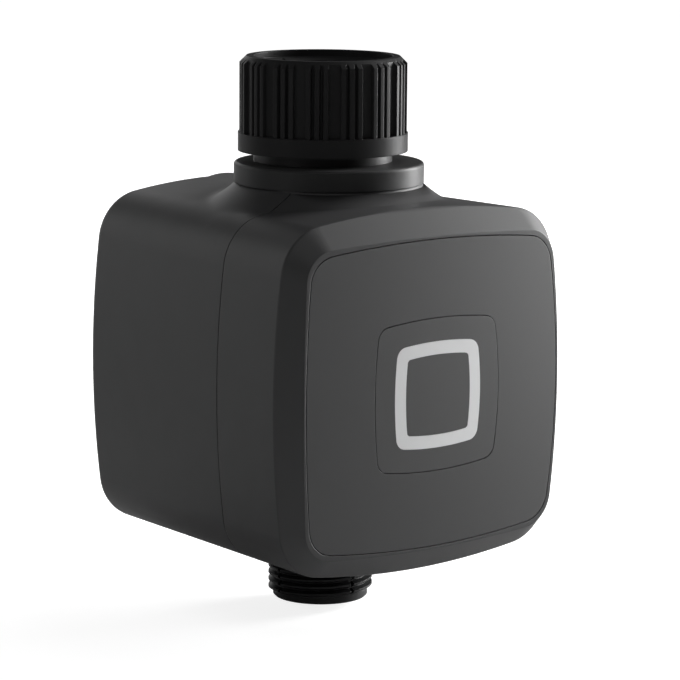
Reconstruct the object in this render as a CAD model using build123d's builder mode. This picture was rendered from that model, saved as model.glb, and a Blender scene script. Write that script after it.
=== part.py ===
from build123d import *
import os
from math import radians, sin, sqrt, tan

# Smart water timer. Millimetres, +Z up, the front faces -Y.
# The origin is on the pipe axis, on the washer face that the tap's end presses on.

os.makedirs("parts", exist_ok=True)

# Housing, outer
body_width = 88.9
body_height = 89.2
taper_side = 5.0
taper_top = 0.0
side_bow = 3.5
top_bow = 3.8
body_corner_r = 13.0
edge_lead = 3.4
seam_lead = 1.0
back_y = 46.0
wall = 2.5
front_edge_r = 0.8
back_edge_r = 3.0
seat_above_body = 17.9

# Front face: a slightly domed plate inside a sloping band
face_rise = 4.05
dome_r = 550.0
band_side = 5.2
band_top = 7.0
plate_side_bow = 2.4
plate_top_bow = 2.5
plate_corner_r = 7.2
plate_thickness = 2.2
plate_foot = 1.8
plate_gap = 0.22
rim_land = 0.25
rim_drop = 1.0
cavity_lead = 0.9
cavity_front_inset = 2.0
floor_thickness = 2.0

# Button and its light ring
button_width = 39.1
button_height = 37.7
button_bow = 1.4
button_corner_r = 3.6
button_gap = 0.22
button_thickness = 2.4
button_lip = 1.4
button_lip_thickness = 1.0
stem_r = 3.0
ring_outer_width = 26.8
ring_outer_height = 26.1
ring_inner_width = 20.2
ring_inner_height = 19.7
ring_outer_bow = 0.9
ring_inner_bow = 0.6
ring_outer_corner_r = 3.0
ring_inner_corner_r = 1.0
ring_reach = 1.1
web_width = 4.0
web_thickness = 1.0
fit_gap = 0.05

# Tap side: parallel pipe thread, 11 turns to the inch
tap_major_r = 16.62
tap_minor_r = 15.15
tap_pitch = 2.309
tap_thread_length = 13.6
tap_root_width = 0.2

# Hose side: parallel pipe thread, 14 turns to the inch
hose_major_r = 13.2
hose_minor_r = 12.04
hose_pitch = 1.814
hose_root_width = 0.15
hose_thread_length = 11.8
hose_lip_step = 0.04
hose_lip_length = 2.1
hose_lip_chamfer = 0.45
hose_bore_r = 8.5
spout_shank_step = 0.3
spout_flange_r = 16.5
flange_flat_gap = 0.2
spout_hole_gap = 0.2
thread_flank = 27.5
thread_overrun = 0.15
thread_overlap = 0.004
slot_count = 4
slot_width = 0.9

# Coupling nut
nut_rim_z = 16.2
nut_base_z = -7.35
nut_r = 20.9
nut_rim_r = 19.15
nut_chamfer_height = 1.75
nut_band_r = 21.2
nut_band_height = 4.6
nut_mouth_r = 17.35
nut_mouth_depth = 1.6
nut_cavity_gap = 0.9
nut_relief_depth = 2.4
nut_lip_thickness = 1.25
nut_clearance = 0.3
rib_group_count = 15
rib_step = 6.0
rib_width = 0.95
rib_phase = 11.6
groove_taper = 0.35
groove_depth = 1.05
groove_overrun = 0.4

# Washer, filter and nipple
washer_thickness = 3.0
washer_outer_r = 14.8
washer_inner_r = 9.0
filter_r = 11.6
filter_thickness = 1.0
filter_bore_r = 7.3
filter_hub_r = 1.6
filter_spoke_width = 1.0
filter_seat_gap = 0.1
mesh_r = 9.0
mesh_pitch = 1.1
mesh_hole = 0.72
mesh_thickness = 0.3
nipple_flange_r = 14.6
nipple_flange_thickness = 3.0
nipple_neck_step = 1.5
nipple_hole_gap = 0.15
spigot_wall = 3.0
spigot_end_gap = 0.3
pipe_bore_r = 7.5
ring_section_r = 1.0
ring_groove_width = 2.4
ring_depth = 8.0

# Collar on the housing's top
collar_r = 23.7
collar_height = 5.1
collar_gap = 2.5
collar_offset_y = -2.5
collar_edge_r = 0.8
boss_r = 17.3
flare_r = 31.5
flare_step = 0.35
flare_drop = 5.75
flare_sag = 0.25

# Low ridge behind the collar: depth, half width and height above the crown at three places
ridge_places = [(5.0, 13.0, 1.2), (41.5, 6.5, 0.8), (45.6, 4.5, -1.6)]
ridge_sink = 0.15
ridge_root = 2.2

# Valve block
block_wall = 2.0
block_end_gap = 3.5
socket_depth = 14.0
socket_clearance = 0.1
seat_bore_r = 6.5
seat_rim_r = 9.0
chamber_r = 16.5
chamber_y = 10.5
clamp_y = 16.0
clamp_r = 21.5
head_start_y = 7.0
transfer_width = 14.0
transfer_height = 6.0
bar_reach = 30.4
bar_height = 9.0
bar_front_y = 6.5
bar_thickness = 3.5
post_spread = 26.0
post_r = 3.6

# Diaphragm, poppet and bonnet
diaphragm_thickness = 1.6
diaphragm_web = 0.9
poppet_disc_r = 9.5
poppet_disc_thickness = 1.8
poppet_nose_r = 5.6
poppet_nose_length = 2.4
poppet_stem_r = 2.4
poppet_nib_r = 2.0
poppet_nib_height = 0.5
pilot_r = 0.8
bonnet_chamber_depth = 6.0
bonnet_back = 3.0
bonnet_screw_circle = 25.0
bonnet_screw_count = 4
ear_r = 4.0

# Solenoid
tube_clearance = 0.08
tube_wall = 1.0
tube_flange_r = 8.0
tube_flange_thickness = 1.0
tube_fit = 0.1
plunger_r = 4.5
plunger_length = 13.2
tip_r = 2.4
tip_length = 2.0
pole_length = 3.5
yoke_thickness = 1.5
yoke_width = 18.0
bobbin_length = 10.0
bobbin_flange_step = 0.5
bobbin_wall = 1.0
coil_depth = 4.22
magnet_r = 4.4
magnet_thickness = 1.6

# Springs
valve_spring_r = 7.0
valve_spring_wire_r = 0.3
plunger_spring_r = 2.9
plunger_spring_wire_r = 0.25
cell_spring_r = 3.2
cell_spring_wire_r = 0.3
spring_turns = 3

# Bulkhead that closes the rear housing
bulkhead_gap = 2.7
bulkhead_thickness = 2.2
bulkhead_pipe_gap = 0.1
bulkhead_clearance = 0.2
bulkhead_boss_step = 8.3
bulkhead_boss_length = 12.0
bulkhead_boss_r = 5.4
skirt_length = 4.0
skirt_wall = 1.6
skirt_clearance = 0.35
seal_width = 1.6
seal_proud = 0.2

# Electronics and batteries in the control head
membrane_thickness = 1.0
membrane_margin = 2.2
board_depth = 3.9
board_thickness = 1.6
board_side_gap = 10.5
board_boss_inset = 5.0
board_screw_length = 4.6
board_boss_r = 3.0
switch_size = 6.2
switch_height = 2.4
switch_plunger_r = 1.6
switch_bore_r = 1.65
light_offset = 11.6
light_count = 4
light_length = 2.8
light_width = 3.2
light_height = 1.2
switch_floor = 0.4
plunger_seat = 1.2
radio_width = 16.0
radio_length = 12.0
radio_height = 2.2
chip_size = 7.0
chip_height = 1.0
chip_x = -12.0
capacitor_r = 2.5
capacitor_height = 2.4
capacitor_x = 8.0
capacitor_step = 6.5
part_edge_gap = 8.0
cell_r = 7.25
cell_length = 49.5
cell_nub_r = 2.75
cell_nub_length = 1.0
cell_side_gap = 0.7
cell_end_room = 2.2
trough_wall = 1.4
trough_floor = 1.1
tray_gap = 0.9
tray_plate_rise = 2.8
tray_plate_thickness = 2.0
tray_screw_length = 7.0
cell_gap = 0.3
trough_rise = 1.5
contact_width = 8.0
contact_thickness = 0.4
tray_boss_inset = 5.2
tray_boss_z = 18.0
pin_x = 24.4
pin_spread = 3.0
pin_r = 1.2
pin_tip_r = 0.7
pin_gap = 0.05
pin_tip_length = 3.0
pad_r = 2.2
pad_thickness = 0.3
pad_stud_r = 1.0
lead_r = 0.7
lead_bend_r = 4.0
lead_end_y = 36.0

# Screws
screw_r = 1.4
screw_head_r = 2.6
screw_head_height = 1.8
recess_length = 2.8
recess_width = 0.6
recess_depth = 1.6
screw_length = 9.0
screw_clearance = 0.15
hole_room = 0.2
seam_gap = 0.3
bonnet_screw_length = 15.0

# Sizes worked out from the sizes above
back_width = body_width - 2 * taper_side
back_height = body_height - 2 * taper_top
plate_width = body_width - 2 * band_side
plate_height = body_height - 2 * band_top
spigot_r = pipe_bore_r + spigot_wall
nipple_neck_r = spigot_r + nipple_neck_step
block_r = spigot_r + socket_clearance + block_wall
hose_lip_r = hose_minor_r - hose_lip_step
spout_shank_r = hose_major_r - spout_shank_step
nut_cavity_r = nipple_flange_r + nut_cavity_gap
tube_inner_r = plunger_r + tube_clearance
tube_outer_r = tube_inner_r + tube_wall
bobbin_bore_r = tube_outer_r + tube_fit
bobbin_hub_r = bobbin_bore_r + bobbin_wall
coil_r = bobbin_hub_r + coil_depth
bobbin_flange_r = coil_r + bobbin_flange_step
cell_spacing = 2 * cell_r + cell_side_gap

# Heights and depths worked out from the sizes above
mid_z = -seat_above_body - body_height / 2
top_z = mid_z + body_height / 2
bottom_z = mid_z - body_height / 2
inner_top_z = top_z - wall
inner_bottom_z = bottom_z + wall
crown_reach = body_width / 2 - side_bow
crown_r = (crown_reach**2 + top_bow**2) / (2 * top_bow)
collar_seat_r = collar_r - 0.2
collar_top_z = nut_base_z - collar_gap
collar_base_z = collar_top_z - collar_height
flange_top_z = -washer_thickness
flange_base_z = flange_top_z - nipple_flange_thickness
block_top_z = inner_top_z - block_end_gap
block_bottom_z = inner_bottom_z + block_end_gap
spout_lip_z = bottom_z - hose_thread_length
spout_end_z = spout_lip_z - hose_lip_length
hose_thread_top_z = spout_lip_z + hose_thread_length
bonnet_y = clamp_y + diaphragm_thickness
bonnet_roof_y = bonnet_y + bonnet_chamber_depth
bonnet_back_y = bonnet_roof_y + bonnet_back
poppet_back_y = bonnet_y + poppet_disc_thickness
tip_y = poppet_back_y + poppet_nib_height
plunger_y = tip_y + 1.0
yoke_front_y = bonnet_back_y + tube_flange_thickness
bobbin_y = yoke_front_y + yoke_thickness + tube_fit
bobbin_back_y = bobbin_y + bobbin_length
yoke_back_y = bobbin_back_y + tube_fit
yoke_end_y = yoke_back_y + yoke_thickness
pole_y = yoke_end_y - pole_length
bulkhead_back_y = -block_r - bulkhead_pipe_gap
bulkhead_y = bulkhead_back_y - bulkhead_thickness
cell_y = bulkhead_y - bulkhead_gap - cell_r
trough_front_y = cell_y - cell_r - trough_floor
board_back_y = trough_front_y - tray_gap
board_y = board_back_y - board_thickness
floor_back_y = board_y - board_depth
floor_y = floor_back_y - floor_thickness
edge_y = floor_y + edge_lead
face_y = floor_y - face_rise
seam_y = bulkhead_back_y - seam_lead
bulkhead_boss_inset = wall + bulkhead_boss_step
tray_plate_y = trough_front_y + tray_plate_rise
tray_plate_back_y = tray_plate_y + tray_plate_thickness
membrane_y = floor_back_y
membrane_back_y = membrane_y + membrane_thickness
cap_lip_y = face_y + button_thickness + 0.6
cap_lip_back_y = cap_lip_y + button_lip_thickness


def at_depth(y):
    """Plane at depth y that looks to the front, centred on the housing, its own Y pointing up."""
    return Plane(origin=(0, y, mid_z), x_dir=(1, 0, 0), z_dir=(0, -1, 0))


def at_height(z):
    """Level plane at height z, centred on the pipe axis."""
    return Plane.XY.offset(z)


def bowed_outline(plane, width, height, bow_w, bow_h, corner, inset=0.0):
    """Rounded outline whose four sides are bowed out by bow_w and bow_h, drawn in by inset."""
    corner_x = width / 2 - bow_w
    corner_z = height / 2 - bow_h
    side_r = (corner_z**2 + bow_w**2) / (2 * bow_w)
    top_r = (corner_x**2 + bow_h**2) / (2 * bow_h)
    side_x = width / 2 - side_r
    top_center_z = height / 2 - top_r
    side_r = side_r - inset
    top_r = top_r - inset
    half_w = side_x + side_r
    half_h = top_center_z + top_r
    apart = sqrt(side_x**2 + top_center_z**2)
    along = (side_r**2 - top_r**2 + apart**2) / (2 * apart)
    across = sqrt(side_r**2 - along**2)
    x = side_x - (along * side_x + across * top_center_z) / apart
    z = (along * top_center_z - across * side_x) / apart
    with BuildSketch(plane) as outline:
        with BuildLine():
            ThreePointArc((x, -z), (half_w, 0), (x, z))
            ThreePointArc((x, z), (0, half_h), (-x, z))
            ThreePointArc((-x, z), (-half_w, 0), (-x, -z))
            ThreePointArc((-x, -z), (0, -half_h), (x, -z))
        make_face()
        fillet(outline.vertices(), corner - inset)
    return outline.sketch


def width_at(y):
    """Full width of the housing at depth y: it narrows evenly towards the back."""
    return body_width - (body_width - back_width) * (y - edge_y) / (back_y - edge_y)


def height_at(y):
    """Full height of the housing at depth y."""
    return body_height - (body_height - back_height) * (y - edge_y) / (back_y - edge_y)


def housing_outline(y, inset=0.0):
    """The housing's outline at depth y."""
    return bowed_outline(at_depth(y), width_at(y), height_at(y), side_bow, top_bow, body_corner_r, inset)


def seam_outline(y, inset):
    """The outline that the housing has at its seam, drawn at depth y."""
    return bowed_outline(
        at_depth(y), width_at(seam_y), height_at(seam_y), side_bow, top_bow, body_corner_r, inset
    )


def plate_outline(y, inset=0.0):
    """The face plate's outline at depth y."""
    return bowed_outline(
        at_depth(y), plate_width, plate_height, plate_side_bow, plate_top_bow, plate_corner_r, inset
    )


def button_outline(y, inset=0.0):
    """The button's outline at depth y."""
    return bowed_outline(
        at_depth(y), button_width, button_height, button_bow, button_bow, button_corner_r, inset
    )


def ring_outline(y, inset=0.0):
    """Outer outline of the light ring."""
    return bowed_outline(
        at_depth(y),
        ring_outer_width,
        ring_outer_height,
        ring_outer_bow,
        ring_outer_bow,
        ring_outer_corner_r,
        inset,
    )


def island_outline(y, inset=0.0):
    """Inner outline of the light ring, which is the island's edge."""
    return bowed_outline(
        at_depth(y),
        ring_inner_width,
        ring_inner_height,
        ring_inner_bow,
        ring_inner_bow,
        ring_inner_corner_r,
        inset,
    )


def dome(depth=0.0):
    """Large ball whose front is the domed face, set back by depth."""
    ball = Sphere(dome_r - depth, mode=Mode.PRIVATE)
    return ball.moved(Location((0, face_y + dome_r, mid_z)))


def flare():
    """Ring on the housing's top that slopes down and outwards from the collar's foot."""
    base_z = inner_top_z - wall
    brow_z = collar_base_z - flare_step
    foot_z = collar_base_z - flare_drop
    mid_r = (collar_seat_r + flare_r) / 2 - flare_sag
    mid_z = (brow_z + foot_z) / 2 - flare_sag
    with BuildPart() as ring:
        with BuildSketch(Plane(origin=(0, collar_offset_y, 0), x_dir=(1, 0, 0), z_dir=(0, -1, 0))):
            with BuildLine():
                Polyline((flare_r, foot_z), (flare_r, base_z), (0, base_z), (0, collar_base_z))
                Polyline((0, collar_base_z), (collar_seat_r, collar_base_z), (collar_seat_r, brow_z))
                ThreePointArc((collar_seat_r, brow_z), (mid_r, mid_z), (flare_r, foot_z))
            make_face()
        revolve(axis=Axis((0, collar_offset_y, 0), (0, 0, 1)))
    return ring.part


def ridge_section(y, half, rise):
    """Arched section of the ridge at depth y, its foot just under the housing's surface."""
    crown = body_height / 2
    foot = crown + min(rise, 0) - half**2 / (2 * crown_r) - ridge_sink
    with BuildSketch(at_depth(y)) as section:
        with BuildLine():
            ThreePointArc((-half, foot), (0, crown + rise), (half, foot))
            Polyline((half, foot), (half, crown - ridge_root), (-half, crown - ridge_root), (-half, foot))
        make_face()
    return section.sketch.face()


def body_envelope():
    """Solid with the outer shape of both housings together."""
    band_gap = plate_gap + rim_land
    with BuildPart() as envelope:
        loft([housing_outline(back_y).face(), housing_outline(edge_y).face()], ruled=True)
        back_edges = envelope.edges().group_by(Axis.Y)[-1]
        fillet(back_edges, back_edge_r)
        front_outline = plate_outline(face_y + rim_drop, -band_gap).face()
        loft([housing_outline(edge_y).face(), front_outline], ruled=True)
        front_edges = envelope.edges().filter_by_position(Axis.Y, edge_y - 0.01, edge_y + 0.01)
        fillet(front_edges, front_edge_r)
        add(dome(), mode=Mode.INTERSECT)
        add(flare())
        loft([ridge_section(*place) for place in reversed(ridge_places)], ruled=True)
    return envelope.part


def body_cavity():
    """Solid with the shape of the space inside both housings."""
    front_y = edge_y + cavity_lead
    with BuildPart() as cavity:
        loft(
            [housing_outline(back_y - wall, wall).face(), housing_outline(front_y, wall).face()],
            ruled=True,
        )
        loft(
            [
                housing_outline(front_y, wall).face(),
                housing_outline(floor_back_y, wall + cavity_front_inset).face(),
            ],
            ruled=True,
        )
    return cavity.part


def thread_cutters(wall_r, root_r, root_width, pitch, z_low, z_high):
    """One-turn lengths of a helical groove with sloping flanks, open at wall_r and as deep as root_r."""
    side = 1 if root_r > wall_r else -1
    depth = abs(root_r - wall_r)
    mouth = root_width / 2 + (depth + thread_overrun) * tan(radians(thread_flank))
    with BuildPart() as cutter:
        with BuildLine() as path:
            Helix(pitch, pitch * (1 + thread_overlap), wall_r)
        with BuildSketch(Plane.XZ):
            Polygon(
                (wall_r - side * thread_overrun, -mouth),
                (root_r, -root_width / 2),
                (root_r, root_width / 2),
                (wall_r - side * thread_overrun, mouth),
                align=None,
            )
        sweep(path=path.line, is_frenet=True)
    turns = int((z_high - z_low) / pitch) + 2
    return [cutter.part.moved(Location((0, 0, z_low + (step - 0.75) * pitch))) for step in range(turns)]


def coil_spring(spring_r, wire_r, length, turns):
    """Open coil spring that stands on the XY plane, its wire's centre line as tall as length."""
    with BuildPart() as spring:
        with BuildLine() as path:
            Helix(length / turns, length, spring_r)
        with BuildSketch(Plane(origin=path.line @ 0, z_dir=path.line % 0)):
            Circle(wire_r)
        sweep(path=path.line, is_frenet=True)
    return spring.part


def sealing_ring(center_z, mean_r):
    """Round rubber ring about the pipe axis."""
    with BuildPart() as ring:
        with BuildSketch(Plane.XZ):
            with Locations((mean_r, center_z)):
                Circle(ring_section_r)
        revolve(axis=Axis.Z)
    return ring.part


def screw(length=screw_length):
    """Pan head screw along Z, its head above the XY plane and its shank below."""
    with BuildPart() as one_screw:
        Cylinder(screw_head_r, screw_head_height, align=(Align.CENTER, Align.CENTER, Align.MIN))
        fillet(one_screw.edges().sort_by(Axis.Z)[-1], screw_head_height / 3)
        Cylinder(screw_r, length, align=(Align.CENTER, Align.CENTER, Align.MAX))
        with Locations((0, 0, screw_head_height)):
            for turn in (0, 90):
                Box(recess_length, recess_width, recess_depth, rotation=(0, 0, turn), mode=Mode.SUBTRACT)
    return one_screw.part


def corner_places(half_x, half_z):
    """Four places at the corners of an upright rectangle centred on the housing."""
    return [(x, z) for x in (-half_x, half_x) for z in (-half_z, half_z)]


# Coupling nut, free to turn on the nipple under its flange
nut_band_top_z = nut_base_z + nut_band_height
nut_lip_z = nut_base_z + nut_lip_thickness
nut_lip_r = nipple_neck_r + nut_clearance
nut_relief_r = tap_major_r + 0.2
rib_spacing = nut_r * radians(rib_step)
wide_turn = 360 / rib_group_count / 2
nut_grooves = [
    (-rib_step / 2, rib_spacing - rib_width),
    (rib_step / 2, rib_spacing - rib_width),
    (wide_turn, 2 * nut_r * radians(wide_turn - rib_step) - rib_width),
]
with BuildPart() as coupling_nut:
    with BuildSketch(Plane.XZ):
        with BuildLine():
            Polyline(
                (nut_band_r, nut_base_z),
                (nut_band_r, nut_band_top_z),
                (nut_r, nut_band_top_z),
                (nut_r, nut_rim_z - nut_chamfer_height),
                (nut_rim_r, nut_rim_z),
                (nut_mouth_r, nut_rim_z),
                (nut_mouth_r, nut_rim_z - nut_mouth_depth),
                (tap_minor_r, tap_thread_length),
                (tap_minor_r, 0),
                (nut_relief_r, 0),
                (nut_relief_r, -nut_relief_depth),
                (nut_cavity_r, -nut_relief_depth),
                (nut_cavity_r, nut_lip_z),
                (nut_lip_r, nut_lip_z),
                (nut_lip_r, nut_base_z),
                close=True,
            )
        make_face()
    revolve(axis=Axis.Z)
    with BuildSketch(at_height(nut_band_top_z)):
        for turn, width in nut_grooves:
            with PolarLocations(nut_r, rib_group_count, start_angle=rib_phase + turn):
                Polygon(
                    (groove_overrun, -width / 2),
                    (groove_overrun, width / 2),
                    (-groove_depth, width / 2 - groove_taper),
                    (-groove_depth, groove_taper - width / 2),
                    align=None,
                )
    extrude(amount=nut_rim_z - nut_band_top_z, mode=Mode.SUBTRACT)
    for cutter in thread_cutters(tap_minor_r, tap_major_r, tap_root_width, tap_pitch, 0, tap_thread_length):
        add(cutter, mode=Mode.SUBTRACT)
    with BuildSketch(at_height(0)):
        with PolarLocations(tap_minor_r, slot_count):
            Rectangle(2 * (tap_major_r - tap_minor_r), slot_width)
    extrude(amount=nut_rim_z, mode=Mode.SUBTRACT)
coupling_nut.part.label = "coupling_nut"
export_step(coupling_nut.part, "parts/coupling_nut.step")

# Rubber washer that seals the tap's end
with BuildPart() as inlet_washer:
    with BuildSketch(at_height(-washer_thickness)):
        Circle(washer_outer_r)
        Circle(washer_inner_r, mode=Mode.SUBTRACT)
    extrude(amount=washer_thickness)
inlet_washer.part.label = "inlet_washer"
export_step(inlet_washer.part, "parts/inlet_washer.step")

# Filter frame: a ring with spokes, and a seat for the net
filter_base_z = flange_top_z - filter_thickness
with BuildPart() as filter_frame:
    with BuildSketch(at_height(filter_base_z)):
        Circle(filter_r)
        Circle(filter_bore_r, mode=Mode.SUBTRACT)
        Circle(filter_hub_r)
        for turn in (0, 90):
            Rectangle(2 * filter_bore_r + 1, filter_spoke_width, rotation=turn)
    extrude(amount=filter_thickness)
    with BuildSketch(at_height(flange_top_z)):
        Circle(mesh_r + filter_seat_gap)
    extrude(amount=-mesh_thickness, mode=Mode.SUBTRACT)
filter_frame.part.label = "filter_frame"
export_step(filter_frame.part, "parts/filter_frame.step")

# Filter net: one flat sheet with square holes
net_reach = int((filter_bore_r - mesh_pitch) / mesh_pitch)
net_steps = range(-net_reach, net_reach + 1)
net_places = [
    (i * mesh_pitch, j * mesh_pitch)
    for i in net_steps
    for j in net_steps
    if sqrt(i * i + j * j) * mesh_pitch < filter_bore_r - mesh_pitch
]
with BuildPart() as filter_mesh:
    with BuildSketch(at_height(flange_top_z - mesh_thickness)):
        Circle(mesh_r)
        with Locations(*net_places):
            Rectangle(mesh_hole, mesh_hole, mode=Mode.SUBTRACT)
    extrude(amount=mesh_thickness)
filter_mesh.part.label = "filter_mesh"
export_step(filter_mesh.part, "parts/filter_mesh.step")

# Sealing rings sit in grooves and touch the sockets' walls
socket_r = spigot_r + socket_clearance
ring_mean_r = socket_r - ring_section_r
ring_floor_r = ring_mean_r - ring_section_r
inlet_ring_z = block_top_z - ring_depth
outlet_ring_z = block_bottom_z + ring_depth
spigot_length = socket_depth - spigot_end_gap


def ring_groove(center_z):
    """Ring-shaped cut that holds one sealing ring on a spigot."""
    with BuildPart() as groove:
        with BuildSketch(at_height(center_z - ring_groove_width / 2)):
            Circle(spigot_r + 1)
            Circle(ring_floor_r, mode=Mode.SUBTRACT)
        extrude(amount=ring_groove_width)
    return groove.part


# Inlet nipple: its flange carries the nut, and its spigot goes into the valve block
with BuildPart() as inlet_nipple:
    with BuildSketch(Plane.XZ):
        with BuildLine():
            Polyline(
                (pipe_bore_r, block_top_z - spigot_length),
                (spigot_r, block_top_z - spigot_length),
                (spigot_r, block_top_z),
                (nipple_neck_r, block_top_z),
                (nipple_neck_r, flange_base_z),
                (nipple_flange_r, flange_base_z),
                (nipple_flange_r, flange_top_z),
                (filter_r + filter_seat_gap, flange_top_z),
                (filter_r + filter_seat_gap, filter_base_z),
                (pipe_bore_r, filter_base_z),
                close=True,
            )
        make_face()
    revolve(axis=Axis.Z)
    add(ring_groove(inlet_ring_z), mode=Mode.SUBTRACT)
inlet_nipple.part.label = "inlet_nipple"
export_step(inlet_nipple.part, "parts/inlet_nipple.step")

with BuildPart() as inlet_oring:
    add(sealing_ring(inlet_ring_z, ring_mean_r))
inlet_oring.part.label = "inlet_oring"
export_step(inlet_oring.part, "parts/inlet_oring.step")

# Collar: a wide ring on the housing's top, set a little forward of the pipe, with a low boss under the nut
with BuildPart() as inlet_collar:
    with BuildSketch(at_height(collar_base_z)):
        with Locations((0, collar_offset_y)):
            Circle(collar_r)
    extrude(amount=collar_height)
    fillet(inlet_collar.edges().sort_by(Axis.Z)[-1], collar_edge_r)
    with BuildSketch(at_height(collar_top_z)):
        Circle(boss_r)
    extrude(amount=collar_gap - nut_clearance)
    with BuildSketch(at_height(collar_base_z)):
        Circle(nipple_neck_r + nipple_hole_gap)
    extrude(amount=collar_height + collar_gap, mode=Mode.SUBTRACT)
inlet_collar.part.label = "inlet_collar"
export_step(inlet_collar.part, "parts/inlet_collar.step")

# Outlet spout: hose thread below, flange inside the housing, spigot into the valve block
spout_hole_r = spout_shank_r + spout_hole_gap
with BuildPart() as outlet_spout:
    with BuildSketch(Plane.XZ):
        with BuildLine():
            Polyline(
                (hose_bore_r, spout_end_z),
                (hose_lip_r - hose_lip_chamfer, spout_end_z),
                (hose_lip_r, spout_end_z + hose_lip_chamfer),
                (hose_lip_r, spout_lip_z),
                (hose_major_r, spout_lip_z),
                (hose_major_r, hose_thread_top_z),
                (spout_shank_r, hose_thread_top_z),
                (spout_shank_r, inner_bottom_z),
                (spout_flange_r, inner_bottom_z),
                (spout_flange_r, block_bottom_z),
                (spigot_r, block_bottom_z),
                (spigot_r, block_bottom_z + spigot_length),
                (pipe_bore_r, block_bottom_z + spigot_length),
                (pipe_bore_r, inner_bottom_z),
                (hose_bore_r, inner_bottom_z - (hose_bore_r - pipe_bore_r)),
                close=True,
            )
        make_face()
    revolve(axis=Axis.Z)
    with BuildSketch(at_height(inner_bottom_z)):
        with Locations((0, bulkhead_back_y + flange_flat_gap)):
            Rectangle(2 * spout_flange_r, spout_flange_r, align=(Align.CENTER, Align.MAX))
    extrude(amount=block_end_gap, mode=Mode.SUBTRACT)
    add(ring_groove(outlet_ring_z), mode=Mode.SUBTRACT)
    for cutter in thread_cutters(
        hose_major_r, hose_minor_r, hose_root_width, hose_pitch, spout_lip_z, hose_thread_top_z - hose_pitch
    ):
        add(cutter, mode=Mode.SUBTRACT)
    with BuildSketch(at_height(spout_lip_z)):
        with PolarLocations(hose_major_r, slot_count):
            Rectangle(2 * (hose_major_r - hose_minor_r), slot_width)
    extrude(amount=hose_thread_length, mode=Mode.SUBTRACT)
outlet_spout.part.label = "outlet_spout"
export_step(outlet_spout.part, "parts/outlet_spout.step")

with BuildPart() as outlet_oring:
    add(sealing_ring(outlet_ring_z, ring_mean_r))
outlet_oring.part.label = "outlet_oring"
export_step(outlet_oring.part, "parts/outlet_oring.step")

# Both housings are cut from one shell, so their outsides run on across the seam
shell_outside = body_envelope()
shell_inside = body_cavity()
screw_hole_r = screw_r + fit_gap
screw_pass_r = screw_r + screw_clearance
bar_back_y = bar_front_y + bar_thickness
seam_half_w = width_at(seam_y) / 2
seam_half_h = height_at(seam_y) / 2
boss_places = corner_places(seam_half_w - bulkhead_boss_inset, seam_half_h - bulkhead_boss_inset)
post_places = corner_places(post_spread, post_spread)


def rear_region(gap):
    """Everything behind the seam, and the round tongue that the collar hides, grown by gap."""
    with BuildPart() as region:
        with BuildSketch(at_depth(back_y + 1)):
            Rectangle(2 * body_width, 2 * body_height)
        extrude(amount=back_y + 1 - seam_y + gap)
        with BuildSketch(at_height(inner_top_z - 2 * wall)):
            with Locations((0, collar_offset_y)):
                Circle(collar_seat_r + gap)
        extrude(amount=collar_base_z - inner_top_z + 3 * wall)
    return region.part


# Rear housing: deep shell with a saddle that carries the collar
with BuildPart() as rear_housing:
    add(shell_outside)
    add(shell_inside, mode=Mode.SUBTRACT)
    add(rear_region(0), mode=Mode.INTERSECT)
    with BuildSketch(at_depth(back_y - wall / 2)):
        with Locations(*post_places):
            Circle(post_r)
    extrude(amount=back_y - wall / 2 - bar_back_y)
    with BuildSketch(at_depth(bulkhead_back_y + bulkhead_boss_length)):
        with Locations(*boss_places):
            Circle(bulkhead_boss_r)
    extrude(amount=bulkhead_boss_length)
    with BuildSketch(at_depth(bar_back_y + screw_length)):
        with Locations(*post_places):
            Circle(screw_hole_r)
    extrude(amount=screw_length + 1, mode=Mode.SUBTRACT)
    with BuildSketch(at_depth(bulkhead_back_y + screw_length)):
        with Locations(*boss_places):
            Circle(screw_hole_r)
    extrude(amount=screw_length + 1, mode=Mode.SUBTRACT)
    with BuildSketch(at_height(inner_top_z - 1)):
        Circle(nipple_neck_r + nipple_hole_gap)
    extrude(amount=collar_base_z - inner_top_z + 1, mode=Mode.SUBTRACT)
    with BuildSketch(at_height(bottom_z - 1)):
        Circle(spout_hole_r)
    extrude(amount=wall + 2, mode=Mode.SUBTRACT)
    with BuildSketch(at_height(inner_bottom_z)):
        Circle(spout_flange_r + spout_hole_gap)
    extrude(amount=block_end_gap, mode=Mode.SUBTRACT)
rear_housing.part.label = "rear_housing"
export_step(rear_housing.part, "parts/rear_housing.step")

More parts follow.
